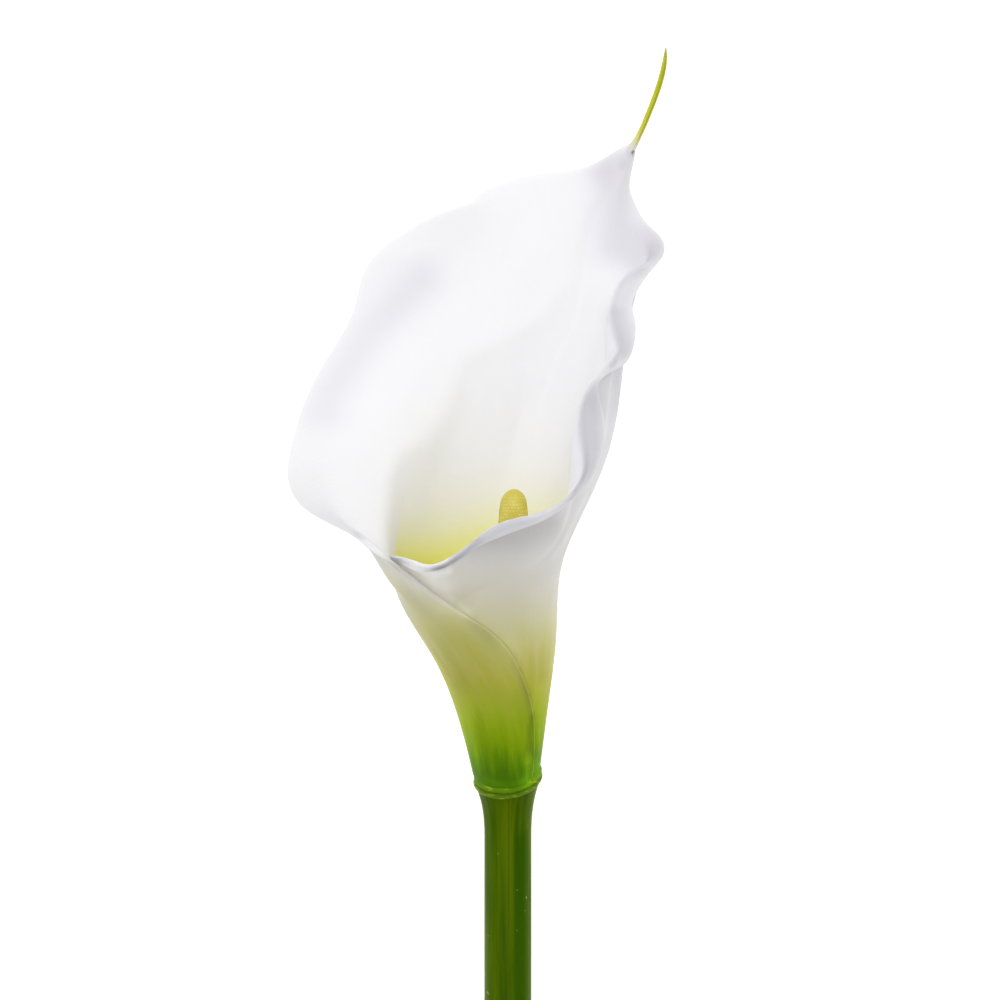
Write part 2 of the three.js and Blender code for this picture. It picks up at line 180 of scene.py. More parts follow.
# Painted light and shade of the flesh, where the light falls brighter or dimmer: width, share lighter,
# their line (x, y). First the inside of the bloom
INNER_PAINTED_LIGHT_AND_SHADE = [
    (6.5, -0.17, [(-44, 90), (-42.9, 94.9), (-33.5, 109.7), (-21.4, 122.3)]),
    (8, 0.07, [(-3, 112), (3, 122), (8, 133)]),
    (5, 0.1, [(-25, 60), (-23, 72), (-19, 90)]),
    (4, 0.07, [(-25, 133), (-15, 136)]),
    (7, -0.22, [(26, 149), (27, 136), (35, 131)]),
    (4, -0.1, [(36, 134), (38, 129)]),
    (4, -0.11, [(25, 129), (31, 126)]),
    (4, -0.1, [(23, 150), (27, 155)]),
    (2.4, -0.18, [(26.5, 113), (27.6, 104)]),
    (2.2, -0.1, [(20.8, 92.4), (19.4, 85.2), (19.7, 80.4), (19, 74)]),
]
# Painted light and shade on the inner face of the lip in front
LIP_TURNS = (330, 345)
LIP_PLACES = (0.84, 0.88)
LIP_PAINTED_LIGHT_AND_SHADE = [
    (1.2, 0.5, [(-21, 53.2), (-18, 52.4), (-14.5, 53.2)]),
    (1.3, -0.12, [(-12.4, 55.2), (-11, 56.1), (-7, 59)]),
]
# Painted light and shade on the front of the funnel and its collar, with painted sheen on the tube's
# foot
FRONT_TURNS = (70, 40), (255, 275)  # where the front ends at the left and begins again at the right
FRONT_PAINTED_LIGHT_AND_SHADE = [
    (4, -0.18, [(-8, 59), (2, 60), (9, 63)]),
    (5, -0.18, [(-24, 45), (-17, 33), (-13, 26)]),
    (3, 0.14, [(-1, 34), (2, 26)]),
    (3, 0.22, [(-20, 50.5), (-15, 45)]),
    (2.5, 0.14, [(-20, 49.5), (-15, 48.5)]),
    (0.9, 0.35, [(-20.5, 52), (-17.5, 51.2), (-14, 52.2)]),
    (1.3, 0.4, [(-24.2, 52), (-17, 46.6), (-9.9, 42)]),
    (0.8, 0.35, [(-5.5, 1.2), (0, 0.2), (5, 1.6)]),
    (4.5, 0.11, [(25, 84), (20, 69)]),
    (4, 0.06, [(7, 53), (7.5, 40)]),
    (2, -0.05, [(16, 58), (7, 50)]),
    (1.6, 0.12, [(5.6, 6), (6.2, 14), (7.4, 24)]),
    (1.8, 0.75, [(4.4, 1.4), (6.6, 4)]),
    (1.1, 0.25, [(-7, 3), (-7.6, 8)]),
    (0.8, 0.35, [(4, 6), (5, 6.6)]),
    (0.7, -0.25, [(4.8, 9), (5.6, 17)]),
    (1.6, -0.1, [(-4.5, 8), (-6.5, 17)]),
]
# A dark speck where the tail leaves the tip
TAIL_TONES = [
    (0.27, -0.75, [(31, 154.7), (31.3, 155.1)]),
]

# A painted highlight along the outer edge of the roll from these heights up, and painted shade at its
# foot below them
EDGE_PAINTED_LIGHT = 0.3
EDGE_PAINTED_LIGHT_FOOT = -1.5  # share of the painted highlight below them; below 0 it is painted shade
EDGE_PAINTED_LIGHT_REACH = 1
EDGE_PAINTED_LIGHT_HEIGHTS = (24, 38)

# Painted shade on the rolled rim of the right side and of the lip, darkest just past the crest, and
# less so at the margin
ROLL_PAINTED_SHADE = -0.1
ROLL_TURNS = (248, 264), (388, 370)
ROLL_PLACES = (0.87, 0.9)
ROLL_MARGIN_FADE = 0.6
ROLL_MARGIN_PLACES = (0.96, 1)
ROLL_LIP_SHARE = 2  # times as dark round the lip
ROLL_LIP_TURNS = (318, 335)
CREST_PAINTED_SHADE = -0.09
CREST_SHADE_PLACE = 0.91
CREST_SHADE_WIDTH = 0.02

# Bead of the collar: two ridges, the upper one higher than the CAD bead, with a crease between
BEAD_AROUND = 180
BEAD_SIDES = 24
BEAD_RISE = 1.9
CREASE_TILT = 0.1  # radians up from the middle of the section
CREASE_WIDTH = 0.26
CREASE_DEPTH = 0.2
BEAD_UNEVENNESS = 0.07
BEAD_LUMPS = 2.2  # fineness
BEAD_SHADING_HEIGHTS = (0, 3)  # its painted light and shade come in over the front half, at these z

# Tail: the furrow along its upper face
TAIL_RINGS = 90
TAIL_SIDES = 28
FURROW_TURN = 20
FURROW_WIDTH = 28
FURROW_DEPTH = 0.16
FURROW_END = (1, 0.8)  # it runs out over this share of the tail

# Stem: the face of the cut as share of the radius and dent, and the flare under the collar
CUT_FACE = [
    (0.02, 0.42), (0.15, 0.4), (0.3, 0.36), (0.45, 0.3), (0.6, 0.24), (0.72, 0.19), (0.82, 0.15),
    (0.9, 0.12), (0.945, 0.08), (0.972, 0.04), (0.99, 0.09),
]
CUT_ROUNDING = 0.25
STEM_SIDES = 112
STEM_RINGS = 120
FLARE_RINGS = 40
STEM_FLARE_START = -13
STEM_FLARE_POWER = 2.5
STEM_TOP_RADIUS = 7.9
STEM_SEAT_DROP = 0.6
STEM_WAVER = 0.012
WAVER_FINENESS = (2.5, 0.02)  # round the stem and along it
PIT_DEPTH = 0.09
PIT_FINENESS = 1.6
PIT_RIM = 0.06  # the cut is smooth over this share of the radius

# Spadix
SPADIX_FOOT = 4
SPADIX_SIDES = 138
SPADIX_RINGS = 400
FLORETS_AROUND = 27
FLORET_PITCH = 0.9
FLORET_HEIGHT = 0.06
FLORET_REACH = 0.6  # share of the pitch that a floret's dome reaches out
FLORET_SIZES = (0.75, 0.5)  # share of the height that the least floret has, and the most added
FLORET_HASH = (131.7, 17.3, 437.5)  # turns a row and a place into an even spread of sizes
FLORET_STRAY = 0.3  # how far a floret strays from its even place
STRAY_SEED = 1  # of Blender's vector noise, which follows the clock where none is set
STRAY_FINENESS = 0.9
FLORET_FADE = (0.3, 2.5)  # the florets fade out between these distances from the tip
ROW_CLOSENESS = 0.87  # staggered rows lie this share of the pitch apart

# Studio
FLOOR_REACH = 8  # metres
FLOOR_GLOW = 0.54
KEY_PLACE = (-900, 1200, 1300)
KEY_AIM = (0, 70, 0)
KEY_SIZE = 1.2  # metres
KEY_POWER = 3.9
TENT_TOP_LIGHT = 0.92
TENT_BACK_LIGHT = 0.58


# ---- Curves ----

def spline_bends(places, values):
    """Second derivatives of the natural cubic spline through rows of values at places."""
    steps = np.diff(places)
    slopes = np.diff(values, axis=0) / steps[:, None]
    system = np.eye(len(places))
    pulls = np.zeros_like(values)
    for i in range(1, len(places) - 1):
        system[i, i - 1:i + 2] = steps[i - 1], 2 * (steps[i - 1] + steps[i]), steps[i]
        pulls[i] = 6 * (slopes[i] - slopes[i - 1])
    return np.linalg.solve(system, pulls)


def spline_value(part, step, first, last, first_bend, last_bend):
    """The spline's value at a part of the step from one place to the next."""
    left = 1 - part
    curve = (left ** 3 - left) * first_bend + (part ** 3 - part) * last_bend
    return left * first + part * last + curve * step ** 2 / 6


def guide(table):
    """A table whose rows are a place and its values, as a function that gives the values at places."""
    table = np.array(table, float)
    places, values = table[:, 0], table[:, 1:]
    bends = spline_bends(places, values)

    def at(where):
        k = np.clip(np.searchsorted(places, where) - 1, 0, len(places) - 2)
        step = (places[k + 1] - places[k])[:, None]
        part = (where - places[k])[:, None] / step
        return spline_value(part, step, values[k], values[k + 1], bends[k], bends[k + 1])

    return at


def polynomial(factors, value):
    """The sum of a value's powers, from 0 up, each times its factor."""
    return sum(factor * value ** power for power, factor in enumerate(factors))


def mixed(low, high, part):
    """The value at a part of the way from low to high."""
    return low + (high - low) * part


def smooth_step(low, high, value):
    """0 at low, 1 at high, and smooth between them; low may be the greater."""
    part = np.clip((value - low) / (high - low), 0, 1)
    return part * part * (3 - 2 * part)


# ---- Shared places ----

stem_low, stem_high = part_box("stem")
ORIGIN = Vector((
    (stem_low.x + stem_high.x) / 2,
    stem_low.y + MM * (STEM_LENGTH + STEM_RADIUS * math.tan(math.radians(CUT_SLANT))),
    stem_low.z + MM * (STEM_RADIUS + STEM_LENGTH * math.tan(math.radians(STEM_LEAN))),
))


def flower(x, y, z):
    """A place of the flower's own frame, in millimetres, in the row frame, in metres."""
    return ORIGIN + MM * Vector((x, y, z))


def axis(height):
    """The middle of the tube and the stem at heights; it bends sideways above the collar."""
    bend = np.where(height > 0, polynomial(TUBE_BEND, height), 0)
    rise = np.maximum(height, -STEM_LENGTH) * math.tan(math.radians(STEM_LEAN))
    return np.stack([bend, height, rise], axis=-1)


def collar_plane(x, z):
    """The collar's oblique plane: its height over a point."""
    return COLLAR_HEIGHT - COLLAR_DROP * z + COLLAR_SKEW * x


def ring_points(centre, turn, radius):
    """Points round centres; a turn of 0 is the front (+Z) and 90 the -X side."""
    angle = np.radians(turn)
    around = np.stack([-radius * np.sin(angle), 0 * angle, radius * np.cos(angle)], axis=-1)
    return centre + around


def round_place(turn, reach, along):
    """A place in a noise field that comes back to itself after a whole turn."""
    angle = math.radians(turn)
    return Vector((reach * math.sin(angle), reach * math.cos(angle), along))


# ---- Meshes ----

def link(name, data):
    """A new object in the scene."""
    made = bpy.data.objects.new(name, data)
    bpy.context.scene.collection.objects.link(made)
    return made


def mesh_object(name, points, faces, values):
    """A smooth mesh from points in the flower's frame, with values, one number a point, by name."""
    mesh = bpy.data.meshes.new(name)
    mesh.from_pydata((points * MM + np.array(ORIGIN)).tolist(), [], faces)
    for key, numbers in values.items():
        attribute = mesh.attributes.new(key, "FLOAT", "POINT")
        attribute.data.foreach_set("value", np.asarray(numbers, np.float32))
    mesh.shade_smooth()
    return link(name, mesh)


def tube_faces(rings, sides, closed=False):
    """Quads of a tube of rings, and end faces unless the tube closes on itself."""
    faces = []
    for r in range(rings if closed else rings - 1):
        here, there = r * sides, (r + 1) % rings * sides
        for s in range(sides):
            n = (s + 1) % sides
            faces.append((here + s, there + s, there + n, here + n))
    if not closed:
        faces.append(tuple(range(sides)))
        faces.append(tuple((rings - 1) * sides + s for s in reversed(range(sides))))
    return faces


# ---- Spathe ----

throat_guide, wall_guide, crest_guide, margin_guide = map(guide, (THROAT, WALL, CREST, MARGIN))


def tube_points(turns, part):
    """Points of the tube's sheet, from the collar (part 0) up to the throat (part 1)."""
    throat_turn, throat_height = throat_guide(turns).T
    here = turns + (throat_turn - turns) * part * part
    outward = 1 - 2 * (turns - FIRST_TURN) / (LAST_TURN - FIRST_TURN)
    spread = mixed(*ROLL_SPREAD, part) * outward - EDGE_PRESS * smooth_step(*EDGE_PRESS_TURNS, turns)
    base = ring_points(axis(0.0 * turns), here, COLLAR_RADIUS)
    height = mixed(collar_plane(base[:, 0], base[:, 2]), throat_height, part)
    return ring_points(axis(height), here, polynomial(TUBE_RADIUS, height) + spread)


def rib_points(turns, where):
    """Points of the ribs at turns, at the places in each rib's row of where."""
    knots = np.stack([
        *(tube_points(turns, part) for part in (0, 1 / 3, 2 / 3, 1)),
        wall_guide(turns), crest_guide(turns), margin_guide(turns),
    ])
    bends = spline_bends(ROW_PLACES, knots.reshape(len(ROW_PLACES), -1)).reshape(knots.shape)
    k = np.clip(np.searchsorted(ROW_PLACES, where) - 1, 0, len(ROW_PLACES) - 2)
    rib = np.arange(len(turns))[:, None]
    step = (ROW_PLACES[k + 1] - ROW_PLACES[k])[..., None]
    part = (where - ROW_PLACES[k])[..., None] / step
    return spline_value(
        part, step, knots[k, rib], knots[k + 1, rib], bends[k, rib], bends[k + 1, rib])


def even_turns():
    """Turns of the columns, evenly spread along the crest and margin, with more at the side edges."""
    fine = np.linspace(FIRST_TURN, LAST_TURN, FINE_TURNS)
    run = sum(
        np.linalg.norm(np.diff(line(fine), axis=0), axis=1) for line in (crest_guide, margin_guide))
    travel = np.concatenate([[0], np.cumsum(run)])
    columns = SHEET_COLUMNS - 2 * len(EDGE_STEPS)
    turns = np.interp(np.linspace(0, travel[-1], columns), travel, fine)
    steps = np.array(EDGE_STEPS)
    return np.unique(np.concatenate([turns, FIRST_TURN + steps, LAST_TURN - steps]))


def row_places(turns):
    """Places of the rows along each rib, and how far from the margin they lie; more at the rim."""
    fine = np.linspace(0, 1, FINE_PLACES)
    dense = rib_points(turns, np.tile(fine, (len(turns), 1)))
    lengths = np.linalg.norm(np.diff(dense, axis=1), axis=2)
    travel = np.concatenate([np.zeros((len(turns), 1)), np.cumsum(lengths, axis=1)], axis=1)
    even = np.linspace(0, 1, BODY_ROWS)
    crowded = even * (1 + ROW_CROWDING * (1 - even))
    rim = np.array([*sorted(RIM_STEPS, reverse=True), 0])
    places, margins = [], []
    for run in travel:
        body = crowded[:-1] * (run[-1] - RIM_ROOM * rim[0]) / crowded[-2]
        along = np.concatenate([body, run[-1] - rim])
        places.append(np.interp(along, run, fine))
        margins.append(run[-1] - along)
    return np.array(places), np.array(margins)


def grid_normals(points):
    """Directions square to a grid of points."""
    across = np.gradient(points, axis=0)
    along = np.gradient(points, axis=1)
    normals = np.cross(along, across)
    return normals / np.linalg.norm(normals, axis=2, keepdims=True)


def softened(normals):
    """Normals evened out with those beside them, so that the skins don't cross in a tight curl."""
    for _ in range(NORMAL_SOFTENING):
        for side in (0, 1):
            reach = [(1, 1) if i == side else (0, 0) for i in range(3)]
            padded = np.swapaxes(np.pad(normals, reach, mode="edge"), 0, side)
            normals = np.swapaxes((padded[:-2] + 2 * padded[1:-1] + padded[2:]) / 4, 0, side)
    return normals / np.linalg.norm(normals, axis=2, keepdims=True)


def line_distance(x, y, line):
    """How far places lie from a line through points, seen from above."""
    nearest = np.full(x.shape, np.inf)
    for (x0, y0), (x1, y1) in zip(line, line[1:]):
        reach = (x1 - x0) ** 2 + (y1 - y0) ** 2
        part = np.clip(((x - x0) * (x1 - x0) + (y - y0) * (y1 - y0)) / reach, 0, 1)
        nearest = np.minimum(nearest, np.hypot(x - mixed(x0, x1, part), y - mixed(y0, y1, part)))
    return nearest


def brushed(points, lines):
    """What soft lines (width, amount, points) add up to at places, seen from above."""
    x, y = points[..., 0], points[..., 1]
    return sum(
        amount * np.exp(-(line_distance(x, y, line) / width) ** 2) for width, amount, line in lines)


def within(fades, value):
    """1 between two soft limits and 0 beyond them."""
    (first, full), (last, less) = fades
    return smooth_step(first, full, value) * smooth_step(last, less, value)


def relief(points, turns, places):
    """Height that the soft furrows and swells add to the back of the sheet."""
    bloom = within(RELIEF_TURNS, turns)[:, None] * within(RELIEF_PLACES, places)
    return bloom * brushed(points, RELIEF)


def rim_painted_shade(turns, places):
    """Painted shade of the rolled rim, on its inner face."""
    rolled_shade = ROLL_PAINTED_SHADE * smooth_step(*ROLL_PLACES, places)
    rolled_shade = rolled_shade + CREST_PAINTED_SHADE * np.exp(-((places - CREST_SHADE_PLACE) / CREST_SHADE_WIDTH) ** 2)
    rolled_shade = rolled_shade * (1 - ROLL_MARGIN_FADE * smooth_step(*ROLL_MARGIN_PLACES, places))
    rolled_shade = rolled_shade * within(ROLL_TURNS, turns)[:, None]
    return rolled_shade * mixed(1, ROLL_LIP_SHARE, smooth_step(*ROLL_LIP_TURNS, turns))[:, None]


def sheet_object():
    """The rolled sheet, its two skins meeting round the border in a rounded rim."""
    turns = even_turns()
    places, to_margin = row_places(turns)
    middle = rib_points(turns, places)
    to_first = np.linalg.norm(middle - middle[:1], axis=2)
    to_side = np.minimum(to_first, np.linalg.norm(middle - middle[-1:], axis=2))
    middle[..., 2] += relief(middle, turns, places)
    normals = softened(grid_normals(middle))
    columns, rows = places.shape
    half = mixed(SHEET_THICKNESS, MARGIN_THICKNESS, places ** 4) / 2
    half = half * mixed(EDGE_THINNING, 1, smooth_step(0, EDGE_THINNING_REACH, to_side))
    to_border = np.minimum(np.minimum(to_margin, to_side), to_margin[:, :1] - to_margin)
    inward = np.clip(to_border / (RIM_ROUNDNESS * half), 0, 1)
    half = half * np.sqrt(1 - (1 - inward) ** 2)
    outer = np.arange(columns * rows).reshape(columns, rows)
    border = np.ones_like(outer, bool)
    border[1:-1, 1:-1] = False
    inner = np.where(border, outer, outer + columns * rows)
    points = np.concatenate([
        (middle + normals * half[..., None]).reshape(-1, 3),
        (middle - normals * half[..., None]).reshape(-1, 3),
    ])

    def quads(index):
        corners = index[:-1, :-1], index[:-1, 1:], index[1:, 1:], index[1:, :-1]
        return np.stack(corners, axis=-1).reshape(-1, 4)

    faces = np.concatenate([quads(outer), quads(inner)[:, ::-1]])
    used, faces = np.unique(faces, return_inverse=True)
    faces = faces.reshape(-1, 4)

    def both_skins(numbers):
        return np.tile(numbers.reshape(-1), 2)[used]

    side = np.repeat([0, 1], columns * rows)
    side = np.where(np.tile(border.reshape(-1), 2), 0.5, side)[used]
    side = side * both_skins(smooth_step(*INNER_FACE_REACH, to_side))
    front = sum(smooth_step(*fade, turns) for fade in FRONT_TURNS)
    # Painted highlight along the roll's outer edge, turning to painted shade at its foot
    edge_painted_light = EDGE_PAINTED_LIGHT * np.exp(-(to_first / EDGE_PAINTED_LIGHT_REACH) ** 2)
    above_foot = smooth_step(*EDGE_PAINTED_LIGHT_HEIGHTS, middle[..., 1])
    edge_painted_light = edge_painted_light * mixed(EDGE_PAINTED_LIGHT_FOOT, 1, above_foot)
    # Painted light and shade: the outer skin's over the front and along the roll's edge, the inner
    # skin's over the bloom, the lip and the rolled rim
    outer_painted_light = brushed(middle, FRONT_PAINTED_LIGHT_AND_SHADE) * front[:, None] + edge_painted_light
    lip = smooth_step(*LIP_TURNS, turns)[:, None] * smooth_step(*LIP_PLACES, places)
    inner_painted_light = brushed(middle, INNER_PAINTED_LIGHT_AND_SHADE) + brushed(middle, LIP_PAINTED_LIGHT_AND_SHADE) * lip
    inner_painted_light = inner_painted_light + rim_painted_shade(turns, places)
    values = {
        "turn": both_skins(np.broadcast_to(turns[:, None], places.shape)),
        "place": both_skins(places),
        "height": both_skins(middle[..., 1]),
        "inside": side,
        # tone carries the painted light and shade of both skins
        "tone": mixed(both_skins(outer_painted_light), both_skins(inner_painted_light), side),
        "bead": 0 * side,
        "tail": 0 * side,
    }
    return mesh_object("calla_spathe", points[used], faces.tolist(), values)


def bead_object():
    """The collar's bead: two soft ridges with a crease between them."""
    turns = np.repeat(np.linspace(0, 360, BEAD_AROUND, endpoint=False), BEAD_SIDES)
    angle = np.tile(np.linspace(0, 2 * math.pi, BEAD_SIDES, endpoint=False), BEAD_AROUND)
    lumps = np.array([noise.noise(round_place(t, BEAD_LUMPS, a)) for t, a in zip(turns, angle)])
    from_crease = np.sin(angle - CREASE_TILT)
    crease = np.exp(-(from_crease / CREASE_WIDTH) ** 2) * (np.cos(angle) > 0)
    swell = 1 - CREASE_DEPTH * crease + BEAD_UNEVENNESS * lumps
    radius = COLLAR_RADIUS + COLLAR_HALF_WIDTH * swell * np.cos(angle)
    points = ring_points(axis(0.0 * turns), turns, radius)
    half_height = np.where(np.sin(angle) > 0, BEAD_RISE, COLLAR_HALF_HEIGHT)
    points[:, 1] = collar_plane(points[:, 0], points[:, 2]) + half_height * swell * np.sin(angle)
    faces = [face[::-1] for face in tube_faces(BEAD_AROUND, BEAD_SIDES, closed=True)]
    zero = 0 * turns
    # Painted light and shade of the funnel's front, over the bead's front half
    tone = brushed(points, FRONT_PAINTED_LIGHT_AND_SHADE) * smooth_step(*BEAD_SHADING_HEIGHTS, points[:, 2])
    values = {
        "turn": turns, "place": from_crease, "height": points[:, 1], "inside": zero,
        "tone": tone, "bead": zero + 1, "tail": zero,
    }
    return mesh_object("bead", points, faces, values)


def tail_object():
    """The rolled tip, with the furrow that the rolled edges leave along its upper face."""
    shape = guide([(i / (len(TAIL) - 1), *row) for i, row in enumerate(TAIL)])
    along = np.repeat(np.linspace(0, 1, TAIL_RINGS), TAIL_SIDES)
    turns = np.tile(np.linspace(0, 360, TAIL_SIDES, endpoint=False), TAIL_RINGS)
    x, y, z, radius = shape(along).T
    from_furrow = (turns + 180 - FURROW_TURN) % 360 - 180
    furrow = FURROW_DEPTH * np.exp(-(from_furrow / FURROW_WIDTH) ** 2)
    furrow = furrow * smooth_step(*FURROW_END, along)
    centre = np.stack([x, y, z], axis=-1)
    points = ring_points(centre, turns, radius * (1 - furrow))
    zero = 0 * turns
    values = {
        "turn": turns, "place": zero + 1, "height": points[:, 1], "inside": zero,
        "tone": brushed(points, TAIL_TONES) * (points[:, 2] > z), "bead": zero, "tail": along,
    }
    return mesh_object("tail", points, tube_faces(TAIL_RINGS, TAIL_SIDES), values)


def join_solids(base, *others):
    """Unites closed meshes into one and gives every point the values of the nearest point before."""
    sources = [base, *others]
    keys = [a.name for a in base.data.attributes if a.data_type == "FLOAT" and a.domain == "POINT"]
    columns = {key: [] for key in keys}
    places = []
    for source in sources:
        count = len(source.data.vertices)
        where = np.empty(count * 3, np.float32)
        source.data.vertices.foreach_get("co", where)
        places.append(where.reshape(-1, 3))
        for key in keys:
            numbers = np.empty(count, np.float32)
            source.data.attributes[key].data.foreach_get("value", numbers)
            columns[key].append(numbers)
    places = np.concatenate(places)
    tree = KDTree(len(places))
    for i, place in enumerate(places):
        tree.insert(place, i)
    tree.balance()
    for other in others:
        union = base.modifiers.new("union", "BOOLEAN")
        union.operation = "UNION"
        union.solver = "MANIFOLD"
        union.object = other
    depsgraph = bpy.context.evaluated_depsgraph_get()
    joined = bpy.data.meshes.new_from_object(base.evaluated_get(depsgraph))
    base.modifiers.clear()
    old = base.data
    base.data = joined
    bpy.data.meshes.remove(old)
    for other in others:
        bpy.data.objects.remove(other)
    nearest = [tree.find(v.co)[1] for v in joined.vertices]
    for key in keys:
        attribute = joined.attributes.get(key) or joined.attributes.new(key, "FLOAT", "POINT")
        attribute.data.foreach_set("value", np.concatenate(columns[key])[nearest])
    joined.shade_smooth()
    return base


def drop_crumbs(piece, fewest=50):
    """Deletes loose bits of a joined mesh that have fewer points than this."""
    work = bmesh.new()
    work.from_mesh(piece.data)
    unseen = set(work.verts)
    crumbs = []
    while unseen:
        island, edge_of_it = set(), [unseen.pop()]
        while edge_of_it:
            point = edge_of_it.pop()
            island.add(point)
            near = {edge.other_vert(point) for edge in point.link_edges} & unseen
            unseen -= near
            edge_of_it.extend(near)
        if len(island) < fewest:
            crumbs.extend(island)
    bmesh.ops.delete(work, geom=crumbs, context="VERTS")
    work.to_mesh(piece.data)
    work.free()
    return piece


# ---- Stem ----

def stem_object():
    """The stalk, from its slanted cut end to the flare that carries the collar."""
    turns = np.linspace(0, 360, STEM_SIDES, endpoint=False)
    seat = ring_points(axis(0.0 * turns), turns, STEM_TOP_RADIUS)
    lean = math.tan(math.radians(STEM_LEAN))
    seat_height = (collar_plane(seat[:, 0], seat[:, 2]) - STEM_SEAT_DROP) / (1 + COLLAR_DROP * lean)
    centre = axis(np.full(STEM_SIDES, -float(STEM_LENGTH)))
    slant = STEM_RADIUS * np.cos(np.radians(turns)) * math.tan(math.radians(CUT_SLANT))
    cut_height = slant - STEM_LENGTH

    rings, cut = [], []
    for share, dent in CUT_FACE:
        face = ring_points(centre, turns, STEM_RADIUS * share)
        face[:, 1] = -STEM_LENGTH + slant * share + dent
        rings.append(face)
        cut.append(1 - share)
    for part in np.linspace(0, 1, STEM_RINGS):
        height = mixed(cut_height + CUT_ROUNDING, STEM_FLARE_START, part)
        rings.append(ring_points(axis(height), turns, STEM_RADIUS))
        cut.append(-1)
    for part in np.linspace(0, 1, FLARE_RINGS)[1:]:
        height = mixed(STEM_FLARE_START, seat_height, part)
        widening = (STEM_TOP_RADIUS - STEM_RADIUS) * part ** STEM_FLARE_POWER
        rings.append(ring_points(axis(height), turns, STEM_RADIUS + widening))
        cut.append(-1)
    points = np.concatenate(rings)
    turn = np.tile(turns, len(rings))
    cut = np.repeat(cut, STEM_SIDES)
    out = points - axis(points[:, 1])
    reach, rate = WAVER_FINENESS
    waver = np.array([
        noise.noise(round_place(t, reach, rate * y)) for t, y in zip(turn, points[:, 1])])
    points += out * (STEM_WAVER * waver * (cut < 0))[:, None]
    pits = np.array([noise.noise(Vector(p) * PIT_FINENESS) for p in points])
    points[:, 1] += np.where(cut > PIT_RIM, PIT_DEPTH * pits, 0)
    values = {"turn": turn, "height": points[:, 1], "cut": cut}
    return mesh_object("calla_stem", points, tube_faces(len(rings), STEM_SIDES), values)


# ---- Spadix ----

def spadix_object():
    """The finger, covered with tiny florets that sit in staggered rows."""
    first_height, first_radius = SPADIX_PROFILE[0]
    tip = SPADIX_PROFILE[-1][0]
    profile = guide([
        (-1, SPADIX_FOOT, first_radius), *((i, *row) for i, row in enumerate(SPADIX_PROFILE))])
    fine = np.linspace(-1, len(SPADIX_PROFILE) - 1, FINE_TURNS)
    run = np.linalg.norm(np.diff(profile(fine), axis=0), axis=1)
    travel = np.concatenate([[0], np.cumsum(run)])
    places = np.interp(np.linspace(0, travel[-1], SPADIX_RINGS), travel, fine)
    height, radius = np.repeat(profile(places), SPADIX_SIDES, axis=0).T
    turn = np.tile(np.linspace(0, 360, SPADIX_SIDES, endpoint=False), SPADIX_RINGS)
    above = np.maximum(height, first_height)
    row = height / FLORET_PITCH / ROW_CLOSENESS
    place = turn / 360 * FLORETS_AROUND
    noise.seed_set(STRAY_SEED)
    strays = [
        noise.noise_vector(round_place(t, STRAY_FINENESS * r, STRAY_FINENESS * h))
        for r, t, h in zip(radius, turn, height)]
    strays = FLORET_STRAY * np.array([(stray.x, stray.y) for stray in strays])
    row, place = row + strays[:, 0], place + strays[:, 1]
    row_index = np.round(row)
    place = place + 0.5 * (row_index % 2)
    aside = place - np.round(place)
    reach = np.hypot(aside, ROW_CLOSENESS * (row - row_index)) / FLORET_REACH
    of_row, of_place, spread = FLORET_HASH
    seed = row_index * of_row + np.round(place) % FLORETS_AROUND * of_place
    hashed = np.modf(np.abs(np.sin(seed) * spread))[0]
    least, added = FLORET_SIZES
    size = least + added * hashed
    fade_end, fade_start = FLORET_FADE
    fade = smooth_step(tip - fade_end, tip - fade_start, height)
    dome = FLORET_HEIGHT * size * np.clip(1 - reach ** 2, 0, 1) * fade
    centre = axis(above)
    centre[:, 0] = SPADIX_DRIFT * height / tip
    centre[:, 1] = height
    points = ring_points(centre, turn, radius + dome)
    faces = tube_faces(SPADIX_RINGS, SPADIX_SIDES)
    return mesh_object("calla_spadix", points, faces, {"dome": dome / FLORET_HEIGHT})


# ---- Materials ----

def srgb(*channels):
    """A colour as 0 to 255 in a picture, as the light that it stands for."""
    share = [c / 255 for c in channels]
    return (*[s / 12.92 if s <= 0.04045 else ((s + 0.055) / 1.055) ** 2.4 for s in share], 1)


